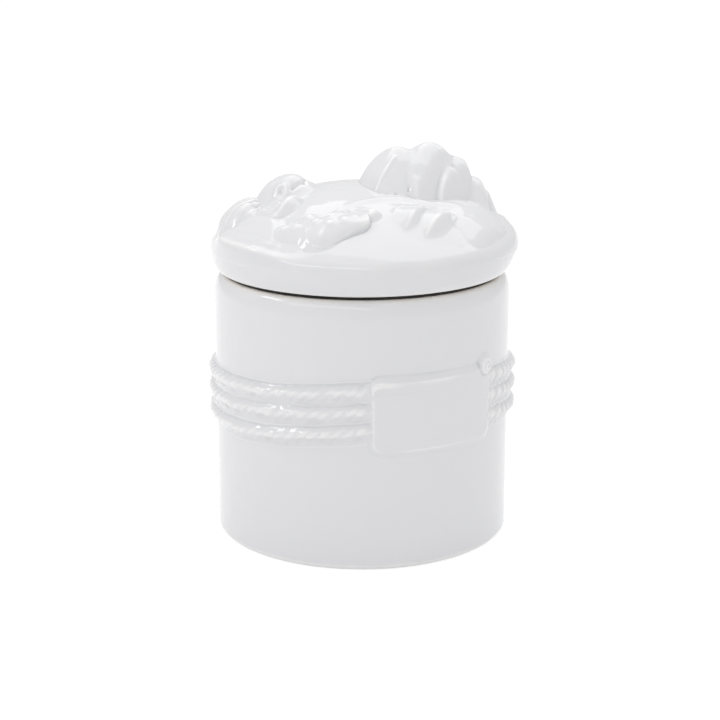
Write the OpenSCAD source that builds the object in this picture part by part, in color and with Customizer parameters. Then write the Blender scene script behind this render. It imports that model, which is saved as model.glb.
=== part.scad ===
// Lidded candy jar in white glazed earthenware.
// A straight round jar carries three rope mouldings and a blank plaque.
// Its loose domed lid sits on a soft seal ring and carries sea shells and starfish in relief.
// Sizes are in millimetres, +Z is up, and the origin is the middle of the foot.
// The plaque faces -Y.

/* [Jar] */
// Outside diameter of the jar
jar_d = 115; // [105:1:130]
// Height of the rim above the table
jar_h = 103; // [95:1:125]
// Thickness of the jar's wall
jar_wall = 6.5; // [6:0.1:8]
// Thickness of the floor above the foot recess
jar_floor = 5; // [4:0.1:9]
// Radius of the outer edge of the rim
rim_round = 4; // [2:0.1:4.5]
// Radius of the inner edge of the rim
mouth_round = 0.8; // [0.4:0.1:1.2]
// Radius of the edge between wall and foot
foot_round = 2; // [1:0.1:3]
// Width of the flat unglazed foot ring
foot_w = 5; // [3:0.5:10]
// Height of the recess inside the foot ring
foot_recess = 2; // [1:0.1:3]
// Radius between wall and floor inside
floor_round = 6; // [2:0.5:12]

/* [Ropes] */
// Diameter of each rope
rope_d = 7.8; // [6:0.1:8.5]
// How far each rope stands out from the wall
rope_proud = 3; // [2:0.1:3.6]
// Clearance between one rope and the next
rope_gap = 0.2; // [0.1:0.05:1]
// Height of the middle rope where it meets the plaque
rope_z = 60.8; // [54:0.1:68]
// How far the upper and middle ropes hang down away from the plaque
rope_sag = 4.4; // [0:0.1:7]
// How far the lower rope hangs down away from the plaque
low_rope_sag = 5.4; // [4.4:0.1:8]
// Angle from the plaque's edge over which a rope comes down
sag_reach = 80; // [40:5:150]
// Length of rope from one strand to the next
strand_pitch = 4.3; // [3.5:0.1:7]
// Depth of the notch between strands
strand_notch = 0.7; // [0.2:0.05:1.2]
// How far a strand slants along the rope over half its width
strand_slant = 2.6; // [0:0.1:4]

/* [Plaque] */
// Width of the plaque along the wall
plaque_w = 53.5; // [30:0.5:80]
// Height of the plaque's plate
plaque_h = 28.2; // [24:0.2:34]
// Height of the plaque's lower edge above the table
plaque_z = 45.3; // [40:0.1:52]
// How far the plate stands out from the wall
plaque_t = 2.6; // [1.5:0.1:4]
// Radius of the plate's lower corners
plaque_round = 5; // [2:0.5:10]
// Diameter of the rolled upper edge
roll_d = 4.6; // [3:0.1:6]
// How far the roll's middle lies behind the plate's face
roll_sink = 1.9; // [0.5:0.1:2.5]
// Diameter of the curl at the roll's end
curl_d = 6.6; // [5:0.1:8]
// Length of the curl along the wall
curl_w = 6; // [3:0.5:10]

/* [Lid] */
// How far the lid's side stands out past the jar
lid_overhang = 1.1; // [0:0.1:4]
// Height of the crown above the lid's lower face
lid_h = 33; // [30:0.5:40]
// Radius of the dome
dome_r = 92; // [82:1:130]
// Radius of the edge between dome and side
edge_round = 6; // [4:0.5:9]
// How far the side draws in below its widest line
lid_draw = 3.2; // [1.5:0.1:5]
// Thickness of the dome
lid_wall = 6; // [4:0.5:9]
// Thickness of the locating flange
flange_t = 4.5; // [3:0.1:7]
// Height of the locating flange below the lid's lower face
flange_h = 8; // [5:0.5:14]
// Bearing of the lid on the jar, turned from the plaque
lid_bearing = -29.5; // [-180:0.5:180]

/* [Seal] */
// Thickness of the seal's lip between rim and lid
seal_lip = 1; // [0.6:0.1:2]
// Thickness of the seal's sleeve round the flange
seal_sleeve = 1.2; // [0.8:0.1:2]
// How far each rib of the sleeve stands out
seal_rib = 0.7; // [0.3:0.1:1.2]
// Length of the sleeve below the rim
seal_h = 6; // [4:0.5:8]
// Clearance between sleeve and flange
seal_fit = 0.3; // [0.1:0.05:0.5]
// Clearance between ribs and jar
mouth_fit = 0.4; // [0.3:0.05:0.8]

/* [Shell knob] */
// Place of the fluted knob, in shares of the crown's radius
knob_at = [0.33, -0.075]; // [-0.9:0.005:0.9]
// Length of the knob's foot
knob_l = 48; // [42:0.5:50]
// Width of the knob's foot
knob_w = 38; // [32:0.5:40]
// Height of the middle flute above the crown
knob_h = 14; // [8:0.5:18]
// Turn of the knob on the lid
knob_turn = 20; // [10:1:30]
// Distance from one flute to the next along the knob
flute_pitch = 12.4; // [10:0.1:14]
// Half width of a flute
flute_w = 9.2; // [7:0.1:11]
// Length of a flute from its top to its front foot
flute_l = 21; // [14:0.5:24]
// Angle between the flutes and the knob's length
flute_angle = 42; // [30:1:70]

/* [Starfish] */
// Place of the large starfish
star_at = [-0.23, -0.7]; // [-0.9:0.01:0.9]
// Radius of the large starfish's body
star_body = 9.5; // [6:0.5:10.5]
// Length of its arms from the middle
star_arm = 16; // [12:0.5:17]
// Height of the large starfish
star_h = 5; // [3:0.1:7]
// Place of the small starfish
small_star_at = [0.46, -0.6]; // [-0.9:0.01:0.9]
// Radius of the small starfish's body
small_star_body = 6.5; // [5:0.5:8]
// Length of its arms from the middle
small_star_arm = 11.5; // [9:0.5:12]
// Height of the small starfish
small_star_h = 4; // [2:0.1:6]
// Angle over which a starfish's arm narrows to the body
arm_spread = 22; // [14:1:28]

/* [Small shells] */
// Place of the whelk
whelk_at = [-0.48, -0.01]; // [-0.9:0.01:0.9]
// Length of the whelk
whelk_l = 20; // [14:0.5:22]
// Width of the whelk
whelk_w = 15; // [10:0.5:18]
// Height of the whelk
whelk_h = 6; // [3:0.5:9]
// Place of the moon shell
moon_at = [-0.53, -0.42]; // [-0.9:0.01:0.9]
// Length of the moon shell
moon_l = 15; // [10:0.5:17]
// Width of the moon shell
moon_w = 13; // [9:0.5:15]
// Height of the moon shell
moon_h = 5.5; // [3:0.5:8]
// Place of the cockle
cockle_at = [-0.835, -0.125]; // [-0.9:0.005:0.9]
// Length of the cockle
cockle_l = 22; // [14:0.5:24]
// Width of the cockle
cockle_w = 15; // [10:0.5:16]
// Height of the cockle
cockle_h = 5.5; // [3:0.5:8]
// Place of the rim shell
rim_shell_at = [0.81, -0.46]; // [-0.9:0.01:0.9]
// Length of the rim shell
rim_shell_l = 17; // [12:0.5:19]
// Width of the rim shell
rim_shell_w = 10; // [7:0.5:11]
// Height of the rim shell
rim_shell_h = 5; // [3:0.5:7]
// Place of the turban shell
turban_at = [0.8, 0.28]; // [-0.9:0.01:0.9]
// Length of the turban shell
turban_l = 23; // [16:0.5:26]
// Width of the turban shell
turban_w = 12; // [8:0.5:13]
// Height of the turban shell
turban_h = 8.5; // [4:0.5:10]
// Place of the scallop on the back of the lid
scallop_at = [-0.5, 0.61]; // [-0.9:0.01:0.9]
// Length of the scallop
scallop_l = 20.5; // [14:0.5:22]
// Width of the scallop
scallop_w = 19; // [14:0.5:22]
// Height of the scallop
scallop_h = 3.5; // [2:0.5:6]
// Place of the spindle shell on the back of the lid
spindle_at = [0.42, 0.66]; // [-0.9:0.01:0.9]
// Length of the spindle shell
spindle_l = 28; // [20:0.5:31]
// Width of the spindle shell
spindle_w = 14; // [9:0.5:16]
// Height of the spindle shell
spindle_h = 6; // [3:0.5:8]
// Depth of the grooves and ribs on the small shells, in shares of their height
shell_relief = 0.1; // [0:0.01:0.2]

/* [Hidden] */
$fn = 96;

// Clearance that keeps relief off the surface that it is stuck to
stuck_gap = 0.06;
// Least thickness of a shell at its foot
shell_edge = 0.6;
// Powers that round the crown of a shell and the arm of a starfish
shell_crown = 0.6;
star_crown = 0.5;
// Steps in one arc of a turned profile
arc_steps = 10;
// Points round the exposed part of a rope's section
rope_sides = 6;
// Rings in one strand of a rope
strand_rings = 2;
// Rings and bearings in a shell's upper face, and rings in its lower face
shell_rings = 8;
shell_bearings = 36;
seat_rings = 5;
// Radius of the ring round a shell's middle, in steps between rings
first_ring = 0.1;

jar_r = jar_d / 2;
mouth_r = jar_r - jar_wall;
floor_z = foot_recess + jar_floor;
foot_in_r = jar_r - foot_round - foot_w;

lid_z = jar_h + seal_lip;
lid_r = jar_r + lid_overhang;
flange_r = mouth_r - mouth_fit - seal_rib - seal_sleeve - seal_fit;
flange_in_r = flange_r - flange_t;
dome_z = lid_z + lid_h - dome_r;
edge_r = lid_r - edge_round;
crown_angle = acos(edge_r / (dome_r - edge_round));
edge_z = dome_z + (dome_r - edge_round) * sin(crown_angle);
crown_r = dome_r * cos(crown_angle);

rope_r = rope_d / 2;
rope_line = jar_r + rope_proud - rope_r;
// A rope's back is straight from one strand's edge to the other, and the wall curves behind it
rope_back = strand_slant + strand_pitch / strand_rings / 2;
rope_seat = jar_r + rope_back * rope_back / jar_d + stuck_gap;
rope_half_angle = acos((rope_seat - rope_line) / rope_r);
rope_h = 2 * rope_r * sin(rope_half_angle);
rope_step = rope_h + rope_gap;
plaque_angle = plaque_w / jar_r * 180 / PI;
rope_start = plaque_angle / 2 + rope_gap / jar_r * 180 / PI;

// Points of an arc in a profile, from angle a0 to a1
function arc(c, r, a0, a1) =
    [for (i = [0:arc_steps]) let (a = a0 + (a1 - a0) * i / arc_steps) c + r * [cos(a), sin(a)]];

// Height of the lid's outer face at a distance r from the axis
function lid_face(r) =
    r < crown_r ? dome_z + sqrt(dome_r * dome_r - r * r)
    : r < lid_r ? edge_z + sqrt(edge_round * edge_round - pow(r - edge_r, 2))
    : edge_z;

// Triangles of a closed skin: a first point, rings of n points, and a last point
function skin_faces(rings, n) =
    let (last = rings * n + 1, ring = function (k, i) 1 + k * n + i % n)
    concat(
        [for (i = [0:n - 1]) [0, ring(0, i + 1), ring(0, i)]],
        [for (k = [0:rings - 2], i = [0:n - 1]) [ring(k, i), ring(k, i + 1), ring(k + 1, i)]],
        [for (k = [0:rings - 2], i = [0:n - 1]) [ring(k, i + 1), ring(k + 1, i + 1), ring(k + 1, i)]],
        [for (i = [0:n - 1]) [last, ring(rings - 1, i), ring(rings - 1, i + 1)]]);

// Middle of a ring of points
function mean_point(ring) = [for (p = ring) 1 / len(ring)] * ring;

module skin(rings) {
    n = len(rings[0]);
    points = concat([mean_point(rings[0])], [for (r = rings, p = r) p], [mean_point(rings[len(rings) - 1])]);
    polyhedron(points, skin_faces(len(rings), n), convexity = 6);
}

// Jar

module jar_body() {
    color("white") rotate_extrude() polygon(concat(
        [[0, foot_recess], [foot_in_r - foot_recess, foot_recess], [foot_in_r, 0]],
        arc([jar_r - foot_round, foot_round], foot_round, -90, 0),
        arc([jar_r - rim_round, jar_h - rim_round], rim_round, 0, 90),
        arc([mouth_r + mouth_round, jar_h - mouth_round], mouth_round, 90, 180),
        arc([mouth_r - floor_round, floor_z + floor_round], floor_round, 0, -90),
        [[0, floor_z]]));
}

// A rope runs round the jar from one side of the plaque to the other and hangs a little on its way.
// Alternate rings swell and draw in, and each ring slants, so the strands lie on a diagonal.
module rope(z, sag) {
    sweep = 360 - 2 * rope_start;
    strands = round(sweep * PI / 180 * jar_r / strand_pitch);
    last = strands * strand_rings;
    slant_angle = strand_slant / jar_r * 180 / PI;
    drop = function (t) sag * sin(90 * min(1, min(t, sweep - t) / sag_reach));
    skin([for (k = [0:last])
        let (t = sweep * k / last,
             ends = min(1, min(k, last - k) / (2 * strand_rings)),
             r = rope_r - strand_notch * (k % strand_rings) / (strand_rings - 1))
        [for (j = [0:rope_sides])
            let (a = rope_half_angle * (2 * j / rope_sides - 1),
                 along = t + ends * slant_angle * sin(a),
                 bearing = rope_start + along,
                 out = max(rope_line + r * cos(a), rope_seat))
            [out * sin(bearing), -out * cos(bearing), z - drop(along) + r * sin(a)]]]);
}

module rope_upper() {
    color("white") rope(rope_z + rope_step, rope_sag);
}

module rope_middle() {
    color("white") rope(rope_z, rope_sag);
}

module rope_lower() {
    color("white") rope(rope_z - rope_step, low_rope_sag);
}

// Outline of the plaque's plate seen from the front, with round lower corners
module plate_outline() {
    half = jar_r * sin(plaque_angle / 2);
    translate([-half, plaque_z + plaque_round]) square([2 * half, plaque_h - plaque_round]);
    translate([-half + plaque_round, plaque_z]) square([2 * (half - plaque_round), plaque_round]);
    for (side = [-1, 1])
        translate([side * (half - plaque_round), plaque_z + plaque_round]) circle(plaque_round);
}

// Part of a ring round the jar, from one bearing to another
module wall_ring(from, to) {
    rotate(from - 90) rotate_extrude(angle = to - from) children();
}

// Section of the rolled edge: the part of a circle that stands out from the wall
module roll_section(d) {
    intersection() {
        translate([jar_r + plaque_t - roll_sink, plaque_z + plaque_h]) circle(d = d);
        translate([jar_r + stuck_gap, plaque_z]) square([2 * d, plaque_h + d]);
    }
}

module name_plaque() {
    half = plaque_angle / 2;
    curl_angle = curl_w / jar_r * 180 / PI;
    color("white") union() {
        intersection() {
            wall_ring(-half, half)
                translate([jar_r + stuck_gap, plaque_z]) square([plaque_t - stuck_gap, plaque_h]);
            rotate([90, 0, 0]) linear_extrude(jar_d) plate_outline();
        }
        wall_ring(-half, half - curl_angle / 2) roll_section(roll_d);
        wall_ring(half - curl_angle, half) roll_section(curl_d);
    }
}

// Seal and lid

module seal_ring() {
    in_r = flange_r + seal_fit;
    out_r = in_r + seal_sleeve;
    low_z = jar_h - seal_h;
    rib_z = [for (k = [1:2]) low_z + seal_h * k / 3];
    rib_half = seal_h / 9;
    color("dimgray") rotate_extrude() polygon(concat(
        [[in_r, low_z], [out_r, low_z]],
        [for (z = rib_z, p = [[0, -rib_half], [seal_rib, 0], [0, rib_half]]) [out_r + p[0], z + p[1]]],
        [[out_r, jar_h], [jar_r - rim_round, jar_h], [jar_r - rim_round, lid_z], [in_r, lid_z]]));
}

module lid_cap() {
    inner_r = dome_r - lid_wall;
    low_z = lid_z - flange_h;
    flange_edge = flange_t / 5;
    color("white") rotate_extrude() polygon(concat(
        [[flange_in_r, low_z], [flange_r - flange_edge, low_z], [flange_r, low_z + flange_edge],
         [flange_r, lid_z]],
        [for (i = [0:arc_steps]) let (t = 90 * i / arc_steps)
            [lid_r - lid_draw * (1 - sin(t)), edge_z - (edge_z - lid_z) * cos(t)]],
        arc([edge_r, edge_z], edge_round, 0, crown_angle),
        arc([0, dome_z], dome_r, crown_angle, 90),
        arc([0, dome_z], inner_r, 90, acos(flange_in_r / inner_r))));
}

// Relief on the lid: a footprint given as a radius for each bearing, with a height above the dome.
// s runs from 0 in the middle to 1 at the foot, and a is the bearing from the shell's own long axis.
// A finer relief has that many times the rings and bearings.
module relief(at, turn, foot, rise, finer = 1) {
    c = crown_r * at;
    spot = function (s, a) c + s * foot(a) * [cos(a + turn), sin(a + turn)];
    lift = function (p, h) [p[0], p[1], lid_face(norm(p)) + stuck_gap + h];
    rings = shell_rings * finer;
    spokes = shell_bearings * finer;
    bearings = [for (i = [0:spokes - 1]) 360 * i / spokes];
    top = [for (k = [0:rings]) max(k, first_ring) / rings];
    seat = [for (k = [seat_rings:-1:0]) max(k, first_ring) / seat_rings];
    rotate(lid_bearing) skin(concat(
        [for (s = top) [for (a = bearings) lift(spot(s, a), shell_edge + rise(s, a))]],
        [for (s = seat) [for (a = bearings) lift(spot(s, a), 0)]]));
}

// Radius of an oval of length l and width w, narrowed towards one end by a share
function oval(l, w, narrow, a) =
    (1 + narrow * cos(a)) / sqrt(pow(2 * cos(a) / l, 2) + pow(2 * sin(a) / w, 2));

// Radius of a star with arms of the given lengths at the given bearings
function star(body, arms, bearings, a) =
    body + max([for (i = [0:len(arms) - 1])
        let (off = (a - bearings[i] + 540) % 360 - 180)
        (arms[i] - body) * exp(-pow(off / arm_spread, 2))]);

// Rounded crown of a shell
function crown(s, power) = pow(1 - s * s, power);

// A spiral shell: grooves wind outwards from its apex
module spiral_shell(at, turn, size, narrow, turns) {
    foot = function (a) oval(size[0], size[1], narrow, a);
    groove = function (s, a) 1 + shell_relief * s * cos(360 * turns * s - a);
    rise = function (s, a) size[2] * crown(s, shell_crown) * groove(s, a);
    relief(at, turn, foot, rise);
}

// A ribbed shell: ribs fan out from the hinge at one end
module ribbed_shell(at, turn, size, narrow, ribs) {
    foot = function (a) oval(size[0], size[1], narrow, a);
    fan = function (s, a) let (r = s * foot(a)) atan2(r * sin(a), r * cos(a) + size[0] / 2);
    rib = function (s, a) 1 + shell_relief * s * cos(2 * ribs * fan(s, a));
    rise = function (s, a) size[2] * crown(s, shell_crown) * rib(s, a);
    relief(at, turn, foot, rise);
}

// A starfish: each arm has its own length, and a ridge runs down the middle of it
module star_relief(at, body, arms, bearings, height) {
    foot = function (a) star(body, arms, bearings, a);
    rise = function (s, a) height * crown(s, star_crown);
    relief(at, 0, foot, rise);
}

// The knob is a fat shell of three flutes that lean across a low foot plate.
// Each flute is half an egg: long in front of its top, short behind, and the end ones are uneven.
module fluted_shell_knob() {
    c = crown_r * knob_at;
    crown_z = lid_z + lid_h;
    first_flute = 0.42;
    front_share = [1, 1, 0.75];
    back_share = 0.55;
    left_share = [1.4, 1, 1];
    right_share = [1, 1, 0.65];
    height_share = [0.86, 1, 0.74];
    blend = 3;
    along = [cos(flute_angle), sin(flute_angle)];
    across = [sin(flute_angle), -cos(flute_angle)];
    foot = function (a) oval(knob_l, knob_w, 0, a);
    flute = function (k, p, face)
        let (q = p - [flute_pitch * (k - first_flute), (flute_l - flute_pitch * k) / 4],
             u = q * across,
             v = q * along,
             half_w = flute_w * (u < 0 ? left_share[k] : right_share[k]),
             half_l = flute_l * (v < 0 ? front_share[k] : back_share),
             top = crown_z + knob_h * height_share[k] - face)
        top * pow(max(0, 1 - pow(u / half_w, 2) - pow(v / half_l, 2)), shell_crown);
    rise = function (s, a)
        let (p = s * foot(a) * [cos(a), sin(a)],
             face = lid_face(norm(c + s * foot(a) * [cos(a + knob_turn), sin(a + knob_turn)])))
        pow([for (k = [0:2]) pow(flute(k, p, face), blend)] * [1, 1, 1], 1 / blend);
    color("white") relief(knob_at, knob_turn, foot, rise, 2);
}

module starfish() {
    arms = star_arm * [1.1, 0.85, 0.8, 1, 0.88];
    color("white") star_relief(star_at, star_body, arms, [-3, 62, 120, 180, 236], star_h);
}

module small_starfish() {
    arms = small_star_arm * [0.9, 0.7, 1, 1, 1];
    color("white") star_relief(small_star_at, small_star_body, arms, [15, 100, 200, 258, 318], small_star_h);
}

module whelk_shell() {
    color("white") spiral_shell(whelk_at, 8, [whelk_l, whelk_w, whelk_h], -0.12, 2);
}

module moon_shell() {
    color("white") spiral_shell(moon_at, 30, [moon_l, moon_w, moon_h], 0.05, 1.5);
}

module cockle_shell() {
    color("white") ribbed_shell(cockle_at, 98, [cockle_l, cockle_w, cockle_h], -0.08, 6);
}

module rim_shell() {
    color("white") ribbed_shell(rim_shell_at, 60, [rim_shell_l, rim_shell_w, rim_shell_h], 0.05, 5);
}

module turban_shell() {
    color("white") spiral_shell(turban_at, 109, [turban_l, turban_w, turban_h], -0.1, 2);
}

module scallop_shell() {
    color("white") ribbed_shell(scallop_at, 129, [scallop_l, scallop_w, scallop_h], 0.1, 8);
}

module spindle_shell() {
    color("white") spiral_shell(spindle_at, -32, [spindle_l, spindle_w, spindle_h], -0.12, 2.5);
}

jar_body();
rope_upper();
rope_middle();
rope_lower();
name_plaque();
seal_ring();
lid_cap();
fluted_shell_knob();
starfish();
small_starfish();
whelk_shell();
moon_shell();
cockle_shell();
rim_shell();
turban_shell();
scallop_shell();
spindle_shell();
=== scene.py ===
"""White glazed earthenware candy jar: rope mouldings, a blank plaque and a lid covered in sea shells."""

import math
from types import SimpleNamespace

import bpy
import numpy as np
from bpy.props import FloatProperty, FloatVectorProperty, PointerProperty
from mathutils import Matrix, Vector


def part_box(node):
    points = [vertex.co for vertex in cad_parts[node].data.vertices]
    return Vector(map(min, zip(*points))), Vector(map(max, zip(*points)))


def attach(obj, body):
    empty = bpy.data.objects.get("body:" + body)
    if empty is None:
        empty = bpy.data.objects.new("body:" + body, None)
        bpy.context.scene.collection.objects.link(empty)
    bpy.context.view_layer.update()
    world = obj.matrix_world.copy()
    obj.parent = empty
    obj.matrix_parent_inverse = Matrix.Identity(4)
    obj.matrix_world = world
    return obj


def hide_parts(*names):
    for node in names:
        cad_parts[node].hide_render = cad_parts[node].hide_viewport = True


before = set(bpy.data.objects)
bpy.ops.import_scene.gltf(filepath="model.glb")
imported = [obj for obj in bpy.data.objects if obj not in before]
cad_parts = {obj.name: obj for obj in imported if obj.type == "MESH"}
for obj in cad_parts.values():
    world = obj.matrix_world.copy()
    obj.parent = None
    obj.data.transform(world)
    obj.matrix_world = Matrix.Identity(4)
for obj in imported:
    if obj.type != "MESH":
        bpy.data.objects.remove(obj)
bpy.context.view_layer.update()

bl_info = {
    "name": "Candy jar",
    "version": (1, 0, 0),
    "blender": (4, 5, 0),
    "location": "3D View > Sidebar > Candy jar",
    "description": "Dresses a lidded candy jar in white glazed earthenware",
    "category": "Object",
}

MM = 0.001
TAU = 2 * math.pi


# Places taken from the frame, in millimetres

def corners(node):
    """Lowest and highest corner of a node of the frame, in millimetres."""
    return [np.array(corner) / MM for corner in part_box(node)]


JAR_R = corners("jar_body")[1][0]
JAR_H = corners("jar_body")[1][2]
ROPE_R = corners("rope_upper")[1][0]
PLAQUE_Z = corners("name_plaque")[0][2]
SEAL_Z, LID_Z = (corner[2] for corner in corners("seal_ring"))
LID_R = corners("lid_cap")[1][0]
FLANGE_Z, CROWN_Z = (corner[2] for corner in corners("lid_cap"))

# Bearing of the lid on the jar, and of the viewer, from the middle of the plaque
LID_BEARING = math.radians(-29.5)


# Sizes and colours that a user may change

def length(name, description, millimetres):
    """A length that is shown in the scene's units."""
    return FloatProperty(name=name, description=description, default=millimetres * MM,
                         subtype="DISTANCE", unit="LENGTH", precision=5)


def angle(name, description, degrees):
    """An angle that is shown in degrees."""
    return FloatProperty(name=name, description=description, default=math.radians(degrees),
                         subtype="ANGLE", unit="ROTATION")


def share(name, description, value):
    """A plain number, mostly between 0 and 1."""
    return FloatProperty(name=name, description=description, default=value, precision=3)


def power(name, description, watts):
    """The power of a lamp."""
    return FloatProperty(name=name, description=description, default=watts, subtype="POWER", unit="POWER")


def linear(hex_colour):
    """Linear red, green and blue of an sRGB colour written as six hex digits."""
    srgb = np.array([int(hex_colour[i:i + 2], 16) for i in (0, 2, 4)]) / 255
    return tuple(np.where(srgb <= 0.04045, srgb / 12.92, ((srgb + 0.055) / 1.055) ** 2.4).tolist())


def colour(name, description, hex_colour):
    """A colour, given as sRGB hex and kept as linear values."""
    return FloatVectorProperty(name=name, description=description, default=linear(hex_colour),
                               subtype="COLOR", size=3, min=0, max=1)


class JarSizes(bpy.types.PropertyGroup):
    wall: length("Wall", "Thickness of the jar's wall", 6.5)
    floor: length("Floor", "Thickness of the floor above the foot recess", 5)
    rim_round: length("Rim round", "How far the rim's outer edge is rounded off inwards", 4)
    shoulder: length("Shoulder", "Height over which the wall rounds off to the rim", 8)
    mouth_round: length("Mouth radius", "Radius of the inner edge of the rim", 0.8)
    foot_round: length("Foot radius", "Radius of the edge between wall and foot", 2)
    foot_width: length("Foot ring", "Width of the flat unglazed foot ring", 5)
    foot_recess: length("Foot recess", "Height of the recess inside the foot ring", 2)
    floor_round: length("Floor radius", "Radius between wall and floor inside", 6)
    sway: length("Sway", "How far the cast wall strays from a true cylinder", 0.06)


class RopeSizes(bpy.types.PropertyGroup):
    diameter: length("Diameter", "Diameter of each rope", 7.8)
    height: length("Height", "Height of the middle rope where it meets the plaque", 60.8)
    step: length("Step", "Height from one rope to the next", 7.7)
    sag: length("Sag", "How far the upper two ropes hang down away from the plaque", 3.7)
    low_sag: length("Lower sag", "How far the lowest rope hangs down away from the plaque", 4.8)
    sag_reach: angle("Sag reach", "Angle from the plaque over which a rope comes down", 80)
    pitch: length("Strand pitch", "Length of rope from one strand to the next", 4.3)
    notch: length("Strand notch", "Depth of the notch between strands", 0.95)
    slant: length("Strand slant", "How far a strand slants along the rope over half its width", 2.6)
    flooded: share("Flooded notch", "Share of the notch's depth left where glaze has run into it", 0.2)
    flooded_at: angle("Flooded at", "Bearing from the plaque of the middle of the flooded stretch", -52)
    valley: length("Valley", "Height over the wall of the glaze between two ropes", 1)
    wander: length("Wander", "How far a hand-laid rope strays from its line", 0.2)
    skew: share("Skew", "How far a rope's crest lies above its middle, in shares of half its width", 0.2)
    rise: length("Rise", "How far the ropes come up again at the plaque's left side", 1.2)


class PlaqueSizes(bpy.types.PropertyGroup):
    width: length("Width", "Width of the plaque along the wall", 53.5)
    height: length("Height", "Height of the plaque's plate", 29)
    thickness: length("Thickness", "How far the plate stands out from the wall", 1.2)
    corner: length("Corner", "Radius of the plate's lower corners", 5)
    edge: length("Edge", "Width over which the plate's soft edge rises", 3.4)
    roll: length("Roll", "Height of the rolled upper edge over the plate", 0.9)
    roll_width: length("Roll width", "Half the width of the rolled upper edge", 2.2)
    curl: length("Curl", "Diameter of the curl at the roll's end", 7.4)
    curl_height: length("Curl height", "How far the curl stands out from the wall", 2.3)


class LidSizes(bpy.types.PropertyGroup):
    dome: length("Dome", "Radius of the dome", 92)
    edge: length("Edge", "Radius of the edge between dome and side", 6)
    draw: length("Draw", "How far the side draws in below its widest line", 3.2)
    lift: length("Lift", "How far the side's lower edge lies above the seat", 0.6)
    wall: length("Wall", "Thickness of the dome", 6)
    flange: length("Flange", "Thickness of the locating flange", 4.5)
    flange_r: length("Flange radius", "Outer radius of the locating flange", 48.4)
    swell: length("Swell", "Height of the smooth pebble at the lid's front left", 2)
    ground: length("Ground", "Height of the raised ground between knob and rim", 4.4)
    ridge: length("Ridge", "Height of the low ridge in front of the knob", 0.6)
    sway: length("Sway", "How far the cast dome strays from a true one", 0.1)


class SealSizes(bpy.types.PropertyGroup):
    fit: length("Fit", "Clearance between sleeve and flange", 0.3)
    sleeve: length("Sleeve", "Thickness of the seal's sleeve round the flange", 1.2)
    rib: length("Rib", "How far each rib of the sleeve stands out", 0.7)
    lip: length("Lip", "Thickness of the seal's lip between rim and lid", 1)


class ReliefSizes(bpy.types.PropertyGroup):
    fillet: length("Glaze fillet", "How far glaze and slip fill the foot of the relief", 0.4)
    seat: length("Seat", "How deep the relief is pressed into the lid", 0.5)
    run: length("Run", "Height of the waves where glaze has run over the relief", 0.16)
    groove: length("Groove", "Depth of the grooves between whorls", 0.28)
    rib: length("Rib", "Depth of the deepest furrows between ribs", 0.6)
    bead: length("Bead", "Height of the beads on a starfish", 0.45)


class GlazeLook(bpy.types.PropertyGroup):
    glaze: colour("Glaze", "White glaze of even thickness", "E9E9EB")
    # The grey of pooled glaze is partly painted shade: it darkens hollows and creases where shade falls.
    pool: colour("Pooled glaze", "Thick glaze in hollows, a little cool and grey", "C8CACE")
    # The ridge colour is partly thinner glaze and partly painted highlight that lightens ridges and rope
    # crests.
    thin: colour("Thin glaze", "Thin glaze on ridges, where the pale clay shows", "F6F5F5")
    pinhole: colour("Pinhole", "Clay at the bottom of a pinhole", "A9A49B")
    bisque: colour("Bisque", "Bare fired clay of the foot ring and the lid's seat", "E4DCCD")
    grit: colour("Bisque grit", "Darker grains in the bare clay", "C9BBA4")
    silicone: colour("Silicone", "Dark silicone of the seal", "232426")
    dust: colour("Dust", "Dust on the silicone", "5A5A5C")
    gloss: share("Glaze roughness", "Roughness of the fired glaze", 0.05)


class StageLook(bpy.types.PropertyGroup):
    panel: power("Top panel", "Power of the panel above and behind", 4.2)
    window: power("Window", "Power of the small bright window at the left", 1.3)
    strip: power("Strip", "Power of the long thin lamp above the viewer", 1.5)
    ambient: share("Ambient", "Strength of the light from all round", 0.727)
    tilt: share("Tilt", "Share that the ambient light gains at the right and loses at the left", 0.06)
    floor: colour("Floor", "Pale floor", "F4F4F4")


GROUPS = {
    "jar_sizes": JarSizes,
    "rope_sizes": RopeSizes,
    "plaque_sizes": PlaqueSizes,
    "lid_sizes": LidSizes,
    "seal_sizes": SealSizes,
    "relief_sizes": ReliefSizes,
    "glaze_look": GlazeLook,
    "stage_look": StageLook,
}


def sizes(group_name):
    """A group's values, with its lengths in millimetres."""
    group = getattr(bpy.context.scene, "candy_jar_" + group_name)
    units = group.bl_rna.properties
    return SimpleNamespace(**{
        key: getattr(group, key) / MM if units[key].unit == "LENGTH" else getattr(group, key)
        for key in GROUPS[group_name].__annotations__})


# Surfaces

def closed_skin(rows, loop=False):
    """Points and faces of a closed surface through rows of points.

    Each row is a ring, and quads join each ring to the next. The first and last rings close in a fan
    on their middle point, or join each other where the rows run in a loop. Faces point outwards,
    which the sign of the enclosed volume shows.
    """
    count, n = rows.shape[:2]
    index = np.arange(count * n).reshape(count, n)
    points = rows.reshape(-1, 3)
    if loop:
        index = np.vstack((index, index[:1]))
    after = np.roll(index, -1, axis=1)
    quads = np.stack((index[:-1], after[:-1], after[1:], index[1:]), axis=-1).reshape(-1, 4)
    fans = np.zeros((0, 3), int)
    if not loop:
        points = np.vstack((points, rows[0].mean(axis=0), rows[-1].mean(axis=0)))
        first, last = np.full(n, count * n), np.full(n, count * n + 1)
        fans = np.vstack((np.stack((first, after[0], index[0]), axis=-1),
                          np.stack((last, index[-1], after[-1]), axis=-1)))
    triangles = np.vstack((quads[:, [0, 1, 2]], quads[:, [0, 2, 3]], fans))
    a, b, c = (points[triangles[:, k]] for k in range(3))
    if np.einsum("ij,ij->i", a, np.cross(b, c)).sum() < 0:
        quads, fans = quads[:, ::-1], fans[:, ::-1]
    return points, quads, fans


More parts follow.
